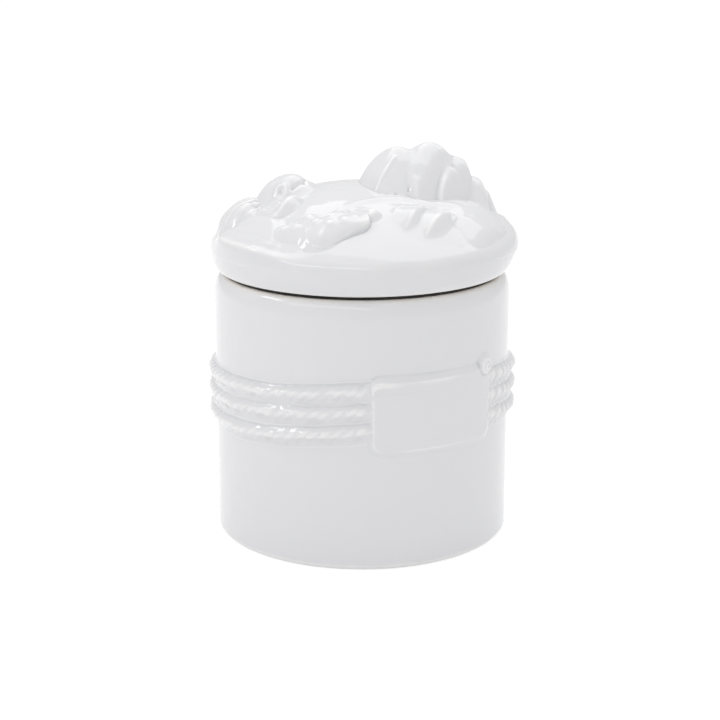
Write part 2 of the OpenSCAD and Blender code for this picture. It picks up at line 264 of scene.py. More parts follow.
def mark_pooling_and_shade(mesh, blurs=4):
    """Stores at each vertex how hollow the surface is there, from -1 on a sharp ridge to 1 in a tight hollow.

    The bend along an edge is twice the neighbour's height over the vertex's tangent plane, divided by the
    squared length of the edge. The mean over a vertex's edges is blurred over its neighbours.
    """
    count = len(mesh.vertices)
    points, normals = np.empty(count * 3), np.empty(count * 3)
    mesh.vertices.foreach_get("co", points)
    mesh.vertices.foreach_get("normal", normals)
    points, normals = points.reshape(-1, 3) / MM, normals.reshape(-1, 3)
    edges = np.empty(len(mesh.edges) * 2, int)
    mesh.edges.foreach_get("vertices", edges)
    edges = edges.reshape(-1, 2)
    ends = np.vstack((edges, edges[:, ::-1]))
    step = points[ends[:, 1]] - points[ends[:, 0]]
    squared = np.maximum(np.einsum("ij,ij->i", step, step), 1e-6)
    bend = 2 * np.einsum("ij,ij->i", step, normals[ends[:, 0]]) / squared
    degree = np.bincount(ends[:, 0], minlength=count)
    hollow = np.bincount(ends[:, 0], weights=bend, minlength=count) / degree
    for _ in range(blurs):
        around = np.bincount(ends[:, 0], weights=hollow[ends[:, 1]], minlength=count) / degree
        hollow = (hollow + around) / 2
    # This value darkens hollows with painted shade and lightens ridges with painted highlight in the glaze.
    store = mesh.attributes.new("pool", "FLOAT", "POINT")
    store.data.foreach_set("value", np.tanh(hollow).astype(np.float32))


def add_piece(name, rows, body, node, finishes, loop=False, row_finish=None):
    """Makes a piece of the object from rows of points in millimetres, on the body of the node it replaces.

    Where it has two finishes, a number for each stretch between rows says which one it gets.
    """
    points, quads, fans = closed_skin(rows, loop)
    mesh = bpy.data.meshes.new(name)
    mesh.from_pydata((points * MM).tolist(), [], quads.tolist() + fans.tolist())
    mesh.polygons.foreach_set("use_smooth", np.ones(len(mesh.polygons), bool))
    for build in finishes:
        mesh.materials.append(finish(build))
    if row_finish is not None:
        n = rows.shape[1]
        per_face = np.concatenate((np.repeat(row_finish, n), np.repeat(row_finish[[0, -1]], n)))
        mesh.polygons.foreach_set("material_index", per_face.astype(np.int32))
    mesh.update()
    mark_pooling_and_shade(mesh)
    piece = bpy.data.objects.new(name, mesh)
    bpy.context.scene.collection.objects.link(piece)
    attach(piece, body)
    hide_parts(node)


def line(start, end, count):
    """Points of a straight line, without its end."""
    t = np.linspace(0, 1, count, endpoint=False)[:, None]
    return np.array(start) * (1 - t) + np.array(end) * t


def arc(middle, radius, first, last, count):
    """Points of an arc between two angles in degrees, with both ends."""
    a = np.radians(np.linspace(first, last, count))
    return np.array(middle) + radius * np.stack((np.cos(a), np.sin(a)), axis=-1)


def turned(profile, count):
    """Rows of a turned surface: each point of a profile of radius and height goes round the axis."""
    a = np.linspace(0, TAU, count, endpoint=False)
    radius, height = profile[:, :1], profile[:, 1:]
    return np.stack((radius * np.sin(a), -radius * np.cos(a), np.broadcast_to(height, (len(profile), count))),
                    axis=-1)


def sway(a, b, seed):
    """Slow unevenness between about -1 and 1: three sine waves that cross at odd angles."""
    return (np.sin(a + 1.7 * seed) * np.cos(0.8 * b - seed)
            + 0.6 * np.sin(1.9 * b + 0.6 * a + 2.3 * seed)
            + 0.4 * np.cos(2.7 * a - 1.3 * b + 0.9 * seed)) / 2


def signed_power(value, power):
    """A power that keeps the sign, so that a crown's formula goes on below its foot."""
    return np.sign(value) * np.abs(value) ** power


def filled(height, fillet):
    """Height over a surface with the hollow at its foot filled: a soft floor at nought.

    It is fillet times the logarithm of one plus e to the height over fillet.
    """
    return fillet * np.logaddexp(0, height / fillet)


def soft_top(heights, blend):
    """The highest of several heights, with the hollows between them softened over a blend height."""
    return blend * np.logaddexp.reduce(np.array(heights) / blend, axis=0)


def soft_low(heights, blend):
    """The lowest of several heights, with the edges between them rounded over a blend height."""
    return -soft_top(-np.array(heights), blend)


def merged(heights, power=4):
    """Several heights over the same ground run into one: the power's root of the sum of their powers."""
    return (np.maximum(heights, 0) ** power).sum(axis=0) ** (1 / power)


def spot(x, y, radius):
    """A round bump of height one: e to the power of minus the squared distance over the radius."""
    return np.exp(-(x * x + y * y) / (radius * radius))


# Finishes

def add_node(tree, kind, inputs=None, **settings):
    """Adds a node, and sets its inputs or links them to a socket or to a node's first output."""
    node = tree.nodes.new(kind)
    for key, value in settings.items():
        setattr(node, key, value)
    for key, value in (inputs or {}).items():
        if isinstance(value, bpy.types.Node):
            value = value.outputs[0]
        if isinstance(value, bpy.types.NodeSocket):
            tree.links.new(value, node.inputs[key])
        else:
            node.inputs[key].default_value = value
    return node


def finish(build):
    """The material named after a function, which adds its nodes when it is first asked for.

    The function gets the node tree and returns the shader that the material shows.
    """
    name = build.__name__.replace("_", " ")
    material = bpy.data.materials.get(name)
    if material is None:
        material = bpy.data.materials.new(name)
        material.use_nodes = True
        tree = material.node_tree
        tree.nodes.clear()
        add_node(tree, "ShaderNodeOutputMaterial", {"Surface": build(tree)})
    return material


def glazed_earthenware(tree):
    """White opaque glaze, dipped and fired on earthenware.

    It gives the eye a hard wet gloss that wavers a little, a faint cool grey in hollows that is pooled glaze
    and painted shade, paler ridges that are thinner glaze and painted highlight, and here and there a
    pinhole.
    """
    look = sizes("glaze_look")
    place = add_node(tree, "ShaderNodeTexCoord").outputs["Object"]
    hollow = add_node(tree, "ShaderNodeAttribute", attribute_name="pool").outputs["Fac"]
    # The glaze's depth is the hollow's, plus a level on flat ground and a drift over about 20 mm. With depth,
    # its colour runs from thinner glaze with painted highlight on ridges, through even glaze, to pooled glaze
    # with painted shade in hollows.
    level, drift_share = 0.3, 0.2
    thin_highlight_at, even_at, pooled_shade_at = 0.16, (0.32, 0.45), 1
    drift = add_node(tree, "ShaderNodeTexNoise", {"Vector": place, "Scale": 1 / (20 * MM), "Detail": 2})
    settled = add_node(tree, "ShaderNodeMath", {0: hollow, 1: level}, operation="ADD")
    depth = add_node(tree, "ShaderNodeMath", {0: drift, 1: drift_share, 2: settled}, operation="MULTIPLY_ADD")
    tone = add_node(tree, "ShaderNodeValToRGB", {"Fac": depth})
    ramp = tone.color_ramp.elements
    # The ramp's pale end is painted highlight on ridges and its grey end is painted shade in hollows.
    ramp[0].position, ramp[0].color = thin_highlight_at, (*look.thin, 1)
    ramp[1].position, ramp[1].color = pooled_shade_at, (*look.pool, 1)
    for position in even_at:
        ramp.new(position).color = (*look.glaze, 1)
    # Pinholes lie about 12 mm apart in one cell out of six, drawn 0.5 mm wide so that they show
    cells = add_node(tree, "ShaderNodeTexVoronoi", {"Vector": place, "Scale": 1 / (12 * MM)})
    near = add_node(tree, "ShaderNodeMapRange", {"Value": cells, "From Min": 0.014, "From Max": 0.03,
                                                 "To Min": 1, "To Max": 0})
    chosen = add_node(tree, "ShaderNodeMath", {0: cells.outputs["Color"], 1: 0.84}, operation="GREATER_THAN")
    pinhole = add_node(tree, "ShaderNodeMath", {0: near, 1: chosen}, operation="MULTIPLY")
    stained = add_node(tree, "ShaderNodeMix", {"Factor": pinhole, "A": tone.outputs["Color"],
                                               "B": (*look.pinhole, 1)}, data_type="RGBA")
    # The glaze's skin wavers over 7 mm, has an orange peel of 1.3 mm and sinks in at the pinholes
    peel_share, pinhole_share = 0.06, -0.8
    waver = add_node(tree, "ShaderNodeTexNoise", {"Vector": place, "Scale": 1 / (7 * MM), "Detail": 1})
    peel = add_node(tree, "ShaderNodeTexNoise", {"Vector": place, "Scale": 1 / (1.3 * MM), "Detail": 1})
    skin = add_node(tree, "ShaderNodeMath", {0: peel, 1: peel_share, 2: waver}, operation="MULTIPLY_ADD")
    pitted = add_node(tree, "ShaderNodeMath", {0: pinhole, 1: pinhole_share, 2: skin},
                      operation="MULTIPLY_ADD")
    bump = add_node(tree, "ShaderNodeBump", {"Height": pitted, "Strength": 0.5, "Distance": 0.25 * MM})
    gloss = add_node(tree, "ShaderNodeMapRange",
                     {"Value": drift, "From Min": 0.3, "From Max": 0.7,
                      "To Min": look.gloss * 0.75, "To Max": look.gloss * 1.25})
    return add_node(tree, "ShaderNodeBsdfPrincipled", {"Base Color": stained.outputs["Result"],
                                                       "Roughness": gloss, "IOR": 1.5, "Normal": bump})


def bare_earthenware(tree):
    """Fired clay with no glaze, which was wiped off the foot and the lid's seat before the kiln.

    It gives the eye a dry, matt, slightly warm surface with fine grit.
    """
    look = sizes("glaze_look")
    place = add_node(tree, "ShaderNodeTexCoord").outputs["Object"]
    # Grit of 0.6 mm, and stains of 9 mm
    grit = add_node(tree, "ShaderNodeTexNoise", {"Vector": place, "Scale": 1 / (0.6 * MM), "Detail": 3})
    stain = add_node(tree, "ShaderNodeTexNoise", {"Vector": place, "Scale": 1 / (9 * MM), "Detail": 3})
    both = add_node(tree, "ShaderNodeMath", {0: grit, 1: stain}, operation="MULTIPLY")
    amount = add_node(tree, "ShaderNodeMapRange", {"Value": both, "From Min": 0.15, "From Max": 0.4})
    tone = add_node(tree, "ShaderNodeMix", {"Factor": amount, "A": (*look.bisque, 1), "B": (*look.grit, 1)},
                    data_type="RGBA")
    bump = add_node(tree, "ShaderNodeBump", {"Height": grit, "Strength": 0.6, "Distance": 0.08 * MM})
    return add_node(tree, "ShaderNodeBsdfPrincipled", {"Base Color": tone.outputs["Result"],
                                                       "Roughness": 0.85, "IOR": 1.45, "Normal": bump})


def moulded_silicone(tree):
    """Dark silicone rubber, moulded in a blasted tool.

    It gives the eye a soft satin black with a fine even grain and a little dust.
    """
    look = sizes("glaze_look")
    place = add_node(tree, "ShaderNodeTexCoord").outputs["Object"]
    # Blasted grain of 0.4 mm, and dust in patches of 5 mm
    grain = add_node(tree, "ShaderNodeTexNoise", {"Vector": place, "Scale": 1 / (0.4 * MM), "Detail": 2})
    dust = add_node(tree, "ShaderNodeTexNoise", {"Vector": place, "Scale": 1 / (5 * MM), "Detail": 4})
    amount = add_node(tree, "ShaderNodeMapRange", {"Value": dust, "From Min": 0.5, "From Max": 0.9,
                                                   "To Max": 0.25})
    tone = add_node(tree, "ShaderNodeMix", {"Factor": amount, "A": (*look.silicone, 1), "B": (*look.dust, 1)},
                    data_type="RGBA")
    bump = add_node(tree, "ShaderNodeBump", {"Height": grain, "Strength": 0.4, "Distance": 0.03 * MM})
    return add_node(tree, "ShaderNodeBsdfPrincipled", {"Base Color": tone.outputs["Result"],
                                                       "Roughness": 0.55, "IOR": 1.41, "Normal": bump})


def painted_floor(tree):
    """White painted floor, which is open from below.

    It gives the eye plain white with a soft shadow. Rays that show the background, from the camera,
    a mirror or glass, meet a floor that glows a little, and light meets a matt one.
    """
    shade, glow = 0.42, 0.74
    path = add_node(tree, "ShaderNodeLightPath").outputs
    below = add_node(tree, "ShaderNodeNewGeometry").outputs["Backfacing"]
    first = add_node(tree, "ShaderNodeMath", {0: path["Is Camera Ray"], 1: path["Is Glossy Ray"]},
                     operation="MAXIMUM")
    seen = add_node(tree, "ShaderNodeMath", {0: first, 1: path["Is Transmission Ray"]}, operation="MAXIMUM")
    matt = add_node(tree, "ShaderNodeBsdfDiffuse", {"Color": (*sizes("stage_look").floor, 1)})
    shaded = add_node(tree, "ShaderNodeBsdfDiffuse", {"Color": (shade, shade, shade, 1)})
    white = add_node(tree, "ShaderNodeEmission", {"Color": (1, 1, 1, 1), "Strength": glow})
    lit = add_node(tree, "ShaderNodeAddShader", {0: shaded, 1: white})
    floor = add_node(tree, "ShaderNodeMixShader", {0: seen, 1: matt, 2: lit})
    clear = add_node(tree, "ShaderNodeBsdfTransparent")
    return add_node(tree, "ShaderNodeMixShader", {0: below, 1: floor, 2: clear})


# Jar

class CANDYJAR_OT_jar_body(bpy.types.Operator):
    """Cast jar with a rounded rim, a glazed inside and a bare foot ring"""

    bl_idname = "candy_jar.jar_body"
    bl_label = "Jar body"

    def execute(self, context):
        s = sizes("jar_sizes")
        mouth_r = JAR_R - s.wall
        deep = s.foot_recess
        floor_z = deep + s.floor
        foot_out = JAR_R - s.foot_round
        foot_in = foot_out - s.foot_width
        # Radius of the foot ring's inner edge, first step on its flat, and radius of the first and last rings
        soft, step, pole = 0.5, 0.3, 0.4
        stretches = [
            line((pole, floor_z), (mouth_r - s.floor_round, floor_z), 24),
            arc((mouth_r - s.floor_round, floor_z + s.floor_round), s.floor_round, -90, 0, 14)[:-1],
            line((mouth_r, floor_z + s.floor_round), (mouth_r, JAR_H - s.mouth_round), 40),
            arc((mouth_r + s.mouth_round, JAR_H - s.mouth_round), s.mouth_round, 180, 90, 8)[:-1],
            line((mouth_r + s.mouth_round, JAR_H), (JAR_R - s.rim_round, JAR_H), 4),
            (JAR_R - s.rim_round, JAR_H - s.shoulder)
            + arc((0, 0), 1, 90, 0, 36)[:-1] * (s.rim_round, s.shoulder),
            line((JAR_R, JAR_H - s.shoulder), (JAR_R, s.foot_round), 86),
            arc((foot_out, s.foot_round), s.foot_round, 0, -90, 12),
            line((foot_out - step, 0), (foot_in + soft, 0), 6),
            arc((foot_in + soft, soft), soft, -90, -150, 5),
            line((foot_in - deep / 2, deep / 2), (foot_in - deep, deep), 4),
            line((foot_in - deep - soft, deep), (pole, deep), 24),
        ]
        rows = turned(np.vstack(stretches), 320)
        bearing = np.arctan2(rows[..., 0], -rows[..., 1])
        radius, height = np.hypot(rows[..., 0], rows[..., 1]), rows[..., 2]
        # The wall strays more and more over a height from foot and rim, in waves that close round the jar
        grows = 12
        strays = np.clip((height - s.foot_round) / grows, 0, 1) * np.clip((JAR_H - height) / grows, 0, 1)
        wave = sway(3 * np.sin(bearing) + 2 * np.cos(bearing), height / 17, 0.7)
        rows[..., :2] *= (1 + s.sway * strays * wave * (radius > mouth_r - 1) / radius)[..., None]
        ends = np.cumsum([len(stretch) for stretch in stretches])
        bare = np.zeros(len(rows) - 1, int)
        bare[ends[7] - 1:ends[9]] = 1
        add_piece("jar_body_glazed", rows, "jar", "jar_body",
                  [glazed_earthenware, bare_earthenware], row_finish=bare)
        return {"FINISHED"}


class CANDYJAR_OT_ropes(bpy.types.Operator):
    """Three laid ropes that run round the jar from one side of the plaque to the other"""

    bl_idname = "candy_jar.ropes"
    bl_label = "Ropes"

    def execute(self, context):
        s = sizes("rope_sizes")
        sags = {"rope_upper": s.sag, "rope_middle": s.sag, "rope_lower": s.low_sag}
        for level, (node, sag) in zip((1, 0, -1), sags.items()):
            rows = self.laid_rope(s, s.height + level * s.step, sag, level)
            add_piece(node + "_glazed", rows, "jar", node, [glazed_earthenware])
        return {"FINISHED"}

    def laid_rope(self, s, height, sag, level):
        """Sections of a rope that is half sunk in the wall.

        A section is a skew bell, a power of one half plus half a cosine, over the wall on an open side and
        over a valley of glaze on a side that faces another rope. Notches between strands are a power of
        a cosine along the rope and slant with the sine of the angle round the section. They are shallower in
        a stretch that glaze has flooded and left ripples in. The line hangs in a quarter sine wave from each
        end and comes up again in a bell at the far end. The ends sink into the plaque. Sections are drawn
        a little past the foot, so that neighbours overlap.
        """
        # How far the ends reach under the plaque's edge, the length they sink over, how deep foot and back
        # lie in the wall, and the fillet at the foot
        under, sinks, foot_deep, back_deep, fillet = 1.6, 4, 0.1, 0.6, 0.45
        # Reach of the flooded stretch and of the rise at the far end, as angles round the jar
        flood_reach, rise_reach = 0.95, 0.75
        # Sections to a strand, points across a section and how far past the foot they go
        sections, points, past = 9, 33, 1.15
        bell_power, notch_power = 0.8, 1.5
        # How much lower the middle rope's valleys are, then shares by which glaze ripples a flooded stretch,
        # the ends sink and the width strays
        lower, rippled, sunk, strays = 0.15, 1.4, 0.6, 0.04
        start = (sizes("plaque_sizes").width / 2 - under) / JAR_R
        sweep = TAU - 2 * start
        t = np.linspace(0, sweep, int(sweep * JAR_R / s.pitch) * sections)[:, None]
        a = np.radians(np.linspace(-90, 90, points))[None]
        across = past * np.sin(a)
        to_end = np.minimum(t, sweep - t)
        ends = np.clip(to_end * JAR_R / (2 * s.pitch), 0, 1)
        along = t + ends * s.slant / JAR_R * across
        drop = sag * np.sin(np.pi / 2 * np.clip(np.minimum(along, sweep - along) / s.sag_reach, 0, 1))
        drop = drop - s.rise * np.exp(-((sweep - along) / rise_reach) ** 2)
        off = (start + t - s.flooded_at + np.pi) % TAU - np.pi
        clear = s.flooded + (1 - s.flooded) * (1 - np.exp(-(off / flood_reach) ** 4))
        uneven = 0.85 + 0.25 * sway(8 * t, level, 0.4)
        notch = s.notch * clear * uneven * (0.5 + 0.5 * np.cos(TAU * t * JAR_R / s.pitch)) ** notch_power
        valley = np.where(across * level > 0, 0, s.valley - lower * (level == 0))
        inside = np.clip(across, -1, 1)
        bell = (0.5 + 0.5 * np.cos(np.pi * (inside - s.skew * (1 - inside ** 2)))) ** bell_power
        ripple = sway(31 * t + 2 * level, 2.3 * a, 1.1) + 0.7 * sway(83 * t, 1.6 * a + level, 0.2)
        ripple = s.wander * ripple * (1 + rippled * (1 - clear)) - notch
        rise = valley + (ROPE_R - JAR_R - valley) * bell + ripple * np.sqrt(bell)
        rise = rise * (1 - sunk * np.exp(-(to_end * JAR_R / sinks) ** 2))
        out = JAR_R - foot_deep + filled(rise, fillet)
        width = s.diameter * (1 + strays * sway(23 * t, 0 * a, level))
        z = height - drop + width / 2 * across + s.wander * sway(7 * t + 3 * level, 0 * a, 0.3)
        face = np.stack((out * np.sin(start + along), -out * np.cos(start + along), z), axis=-1)
        back = face[:, [-1, 0]].copy()
        back[..., :2] *= ((JAR_R - back_deep) / np.hypot(back[..., 0], back[..., 1]))[..., None]
        return np.concatenate((face, back), axis=1)


class CANDYJAR_OT_plaque(bpy.types.Operator):
    """Blank plaque with a soft edge, a rolled upper edge and a curl at its right end"""

    bl_idname = "candy_jar.plaque"
    bl_label = "Plaque"

    def execute(self, context):
        s = sizes("plaque_sizes")
        # How far the piece goes past the soft edge, and how deep its border and its back lie in the wall
        past, border_deep, back_deep = 0.8, 0.06, 0.5
        top = PLAQUE_Z + s.height
        half_w = s.width / 2
        middle_z = (PLAQUE_Z + top + s.curl / 2) / 2
        margin = s.edge / 2 + past
        half_h = (top + s.curl / 2 - PLAQUE_Z) / 2 + margin
        a = np.linspace(0, TAU, 420, endpoint=False)[None]
        # The outline is a square whose corners a power rounds, drawn out to the plaque's width and height
        square = 9
        foot = (np.abs(np.cos(a)) ** square + np.abs(np.sin(a)) ** square) ** (-1 / square)
        reach = np.concatenate(([0.004], np.linspace(0.02, 1, 90) ** 0.8))[:, None]
        x = reach * foot * np.cos(a) * (half_w + margin)
        z = middle_z + reach * foot * np.sin(a) * half_h
        out = JAR_R - border_deep + self.relief(s, x, z, top, half_w)
        face = np.stack((out * np.sin(x / JAR_R), -out * np.cos(x / JAR_R), z), axis=-1)
        back = face[::-30].copy()
        back[..., :2] *= ((JAR_R - back_deep) / np.hypot(back[..., 0], back[..., 1]))[..., None]
        add_piece("name_plaque_glazed", np.concatenate((face, back)), "jar", "name_plaque",
                  [glazed_earthenware])
        return {"FINISHED"}

    def relief(self, s, x, z, top, half_w):
        """Height of the plaque over the wall: its plate with its roll, run into its curl.

        The plate rises in a smooth step with the distance inside a rectangle that has round corners, and
        thins to the right. The roll is a bell along the upper edge that runs out to the right, with
        a shallow groove below it, and the curl is a mound with a groove that winds round its middle.
        """
        # Shares by which plate and roll lose height to the right, height of the plate's waves, and depth and
        # width of the curl's groove
        thins, runs_out, wave, groove, whorl = 0.3, 0.85, 0.1, 0.1, 1.9
        dx = np.abs(x) - half_w + s.corner
        dz = np.abs(z - (PLAQUE_Z + top) / 2) - s.height / 2 + s.corner
        inside = np.minimum(np.maximum(dx, dz), 0) - s.corner
        outside = np.hypot(np.maximum(dx, 0), np.maximum(dz, 0)) + inside
        step = np.clip(0.5 - outside / s.edge, 0, 1)
        along = np.clip(x / s.width + 0.5, 0, 1)
        plate = s.thickness * (1 - thins * along) + wave * sway(x / 9, z / 7, 0.2)
        plate = plate * step * step * (3 - 2 * step)
        up = (z - top + s.roll_width) / s.roll_width
        roll = np.sqrt(step) * (np.exp(-up ** 2) - 0.35 * np.exp(-(up + 1.9) ** 2))
        roll = roll * s.roll * (1 - runs_out * along)
        across, above = x - half_w + s.curl / 2, z - top + 0.5
        curl = mound(s.curl_height, 1 - (across ** 2 + above ** 2) / (s.curl / 2) ** 2, 2.4)
        turns = np.cos(TAU * np.hypot(across, above) / whorl - np.arctan2(above, across))
        return merged([plate + roll, curl]) + groove * turns * curl / s.curl_height


# Seal and lid

class CANDYJAR_OT_seal(bpy.types.Operator):
    """Soft ring round the lid's flange, with two sealing ribs and a lip that lies on the rim"""

    bl_idname = "candy_jar.seal"
    bl_label = "Seal ring"

    def execute(self, context):
        s = sizes("seal_sizes")
        in_r = sizes("lid_sizes").flange_r + s.fit
        out_r = in_r + s.sleeve
        rim_z = LID_Z - s.lip
        lip_r = JAR_R - sizes("jar_sizes").rim_round
        deep = rim_z - SEAL_Z
        # Radius of the edges, width of the corner between sleeve and lip, and ends of the bore's flat
        soft, hollow, bore_top, bore_foot = 0.3, 0.25, LID_Z - 0.8, SEAL_Z + 0.5
        z = np.linspace(SEAL_Z + soft, rim_z - hollow, 48)
        # Each rib is a smooth hump on the sleeve at a third of its length
        ribs = sum(np.exp(-((z - SEAL_Z - deep * k / 3) / (deep / 12)) ** 2) for k in (1, 2))
        profile = np.vstack((
            arc((in_r + soft, SEAL_Z + soft), soft, 180, 270, 5),
            arc((out_r - soft, SEAL_Z + soft), soft, 270, 350, 5),
            np.stack((out_r + s.rib * ribs, z), axis=-1),
            line((out_r + hollow, rim_z), (lip_r - s.lip / 2, rim_z), 6),
            arc((lip_r - s.lip / 2, LID_Z - s.lip / 2), s.lip / 2, -90, 90, 11),
            line((lip_r - s.lip / 2 - soft, LID_Z), (in_r + soft, LID_Z), 6),
            arc((in_r + soft, LID_Z - soft), soft, 90, 180, 5),
            line((in_r, bore_top), (in_r, bore_foot), 12),
        ))
        add_piece("seal_ring_moulded", turned(profile, 256), "seal", "seal_ring",
                  [moulded_silicone], loop=True)
        return {"FINISHED"}


def lid_shape():
    """The lid's sizes, with the arcs of its dome and edge worked out so that they run into each other."""
    s = sizes("lid_sizes")
    s.dome_z = CROWN_Z - s.dome
    s.edge_r = LID_R - s.edge
    s.crown_angle = math.acos(s.edge_r / (s.dome - s.edge))
    s.edge_z = s.dome_z + (s.dome - s.edge) * math.sin(s.crown_angle)
    s.crown_r = s.dome * math.cos(s.crown_angle)
    return s


def lid_face(s, x, y):
    """Height of the lid's outer face: a sphere's cap that runs into a round edge, with low forms on it."""
    r = np.hypot(x, y)
    cap = s.dome_z + np.sqrt(np.maximum(s.dome ** 2 - r ** 2, 0))
    edge = s.edge_z + np.sqrt(np.maximum(s.edge ** 2 - np.maximum(r - s.edge_r, 0) ** 2, 0))
    return np.where(r < s.crown_r, cap, edge) + lid_swell(s, x, y)


# Middle, turn in degrees and reach to four sides of the dome's pebble and of the ground beside the knob
DOME_PEBBLE = (-42.5, -26), -60, 19, 18, 9.5, 9
DOME_GROUND = (48, -1), 78, 22, 22, 14, 13


def lid_swell(s, x, y):
    """Low forms of the dome itself: a smooth pebble, the ground beside the knob and a ridge in front of it.

    The pebble and the ground are bells. The pebble's outer border is a narrow hump at a distance from the
    axis. The ridge is a hump across a line that bends in a parabola. A slow sway makes the dome uneven.
    """
    # Share of the pebble's height, distance from the lid's edge, half width, bearing and reach of its border
    border_share, border_in, border_half, border_at, border_reach = 0.55, 2.2, 1.3, -2.45, 0.36
    # Middle, half length and half width of the ridge, then how far and from where to where it bends and tilts
    ridge_x, ridge_y, ridge_long, ridge_half = 16, -19.5, 21, 1.9
    bend_left, tilt, bend_long, bend_from, bend_to = 6, 3.5, 24, -1.4, 1.3
    pebble = mound(s.swell, egg(x, y, *DOME_PEBBLE), steep=3.6)
    across = (np.hypot(x, y) - LID_R + border_in) / border_half
    along = (np.arctan2(y, x) - border_at) / border_reach
    border = border_share * s.swell * np.exp(-across ** 2 - along ** 4)
    ground = skirt(s.ground, egg(x, y, *DOME_GROUND))
    along = np.clip((x - ridge_x) / bend_long, bend_from, bend_to)
    across = y - ridge_y + bend_left * along ** 2 * (along < 0) - tilt * along
    ridge = s.ridge * np.exp(-(across / ridge_half) ** 2 - ((x - ridge_x) / ridge_long) ** 6)
    uneven = s.sway * (sway(x / 11, y / 10, 0.5) + 0.3 * sway(x / 2.4, y / 2.1, 1.3))
    return pebble + border + ground + ridge + uneven


def on_jar(points):
    """Turns points of the lid's own frame to the lid's bearing on the jar."""
    c, s = math.cos(LID_BEARING), math.sin(LID_BEARING)
    x, y, z = points[..., 0], points[..., 1], points[..., 2]
    return np.stack((c * x - s * y, s * x + c * y, z), axis=-1)


class CANDYJAR_OT_lid_cap(bpy.types.Operator):
    """Domed lid with a rounded edge, a drawn-in side and a locating flange"""

    bl_idname = "candy_jar.lid_cap"
    bl_label = "Lid"

    def execute(self, context):
        s = lid_shape()
        inner = s.dome - s.wall
        flange_in = s.flange_r - s.flange
        inner_angle = math.degrees(math.acos(flange_in / inner))
        inner_z = s.dome_z + inner * math.sin(math.radians(inner_angle))
        draw = np.radians(np.linspace(0, 90, 24))[:-1]
        side = np.stack((LID_R - s.draw * (1 - np.sin(draw)),
                         s.edge_z - (s.edge_z - LID_Z - s.lift) * np.cos(draw)), axis=-1)
        seat_r = side[0, 0]
        crown = math.degrees(s.crown_angle)
        # Radius of the flange's edges, width of the seat's sloping border, angle of the ring at the crown,
        # and points of edge and dome
        soft, slant, pole, edge_points, dome_points = 0.7, 2, 89.7, 26, 130
        stretches = [
            arc((0, s.dome_z), inner, pole, inner_angle, 40)[:-1],
            line((flange_in, inner_z), (flange_in, FLANGE_Z + soft), 8),
            arc((flange_in + soft, FLANGE_Z + soft), soft, 180, 270, 6),
            arc((s.flange_r - soft, FLANGE_Z + soft), soft, 270, 360, 6),
            line((s.flange_r, FLANGE_Z + 1), (s.flange_r, LID_Z - soft), 8),
            arc((s.flange_r + soft, LID_Z - soft), soft, 180, 90, 6),
            line((s.flange_r + 2 * soft, LID_Z), (seat_r - slant, LID_Z), 5),
            line((seat_r - slant, LID_Z), side[0], 5),
            side,
            arc((s.edge_r, s.edge_z), s.edge, 0, crown, edge_points)[:-1],
            arc((0, s.dome_z), s.dome, crown, pole, dome_points),
        ]
        rows = turned(np.vstack(stretches), 372)
        outside = sum(len(stretch) for stretch in stretches[:8])
        slope = np.radians(np.concatenate((
            np.zeros(len(side)), np.linspace(0, crown, edge_points)[:-1],
            np.linspace(crown, pole, dome_points))))[:, None]
        # The low forms stand out along the surface's normal, and run out down the side
        top = rows[outside:]
        x, y = top[..., 0], top[..., 1]
        up = np.clip((top[..., 2] - LID_Z) / (s.edge_z - LID_Z), 0, 1) ** 2
        swell = up * lid_swell(s, x, y)
        near_edge = np.hypot(x, y) > s.edge_r
        top[..., 2] += swell * np.where(near_edge, np.sin(slope), 1)
        top[..., :2] *= (1 + near_edge * swell * np.cos(slope) / np.maximum(np.hypot(x, y), 1))[..., None]
        bare = np.zeros(len(rows) - 1, int)
        bare[sum(len(stretch) for stretch in stretches[:5]):outside] = 1
        add_piece("lid_cap_glazed", on_jar(rows), "lid", "lid_cap",
                  [glazed_earthenware, bare_earthenware], row_finish=bare)
        return {"FINISHED"}


# Relief on the lid

def turned_axes(x, y, turn):
    """Coordinates along and across an axis that is turned by an angle in degrees."""
    c, s = math.cos(math.radians(turn)), math.sin(math.radians(turn))
    return c * x + s * y, c * y - s * x


def egg(x, y, middle, turn, fore, aft, left, right):
    """One minus the squared distance from an egg's middle, in shares of its reach to each side."""
    u, v = turned_axes(x - middle[0], y - middle[1], turn)
    return 1 - (u / np.where(u > 0, fore, aft)) ** 2 - (v / np.where(v > 0, left, right)) ** 2


def bar(x, y, start, end, half_start, half_end):
    """One minus the squared distance from a bar's line, in shares of a half width that tapers along it."""
    dx, dy = end[0] - start[0], end[1] - start[1]
    t = np.clip(((x - start[0]) * dx + (y - start[1]) * dy) / (dx * dx + dy * dy), 0, 1)
    off = np.hypot(x - start[0] - t * dx, y - start[1] - t * dy)
    return 1 - (off / (half_start + t * (half_end - half_start))) ** 2


def lump(high, form, power=0.55):
    """Height of a rounded form: a power of one minus the squared distance."""
    return high * signed_power(form, power)


def skirt(high, form):
    """Height of a form that runs out gently: e to the power of minus the squared distance."""
    return high * np.exp(form - 1)


def mound(high, form, steep=1.5):
    """Height of a form with a gentle foot: e to the power of minus a power of the squared distance."""
    return high * np.exp(-(1 - form) ** steep)


def leaning(x, y, crest, facing, high, gentle, steep, bend):
    """Height of a lobe that leans over, whose steep face looks in a direction in degrees.

    A gentle face and the steep one meet in a soft crest that bends down at its ends.
    """
    u, v = turned_axes(x - crest[0], y - crest[1], facing)
    return soft_low([high + gentle * u, high - steep * u], blend=0.5) - bend * v ** 2


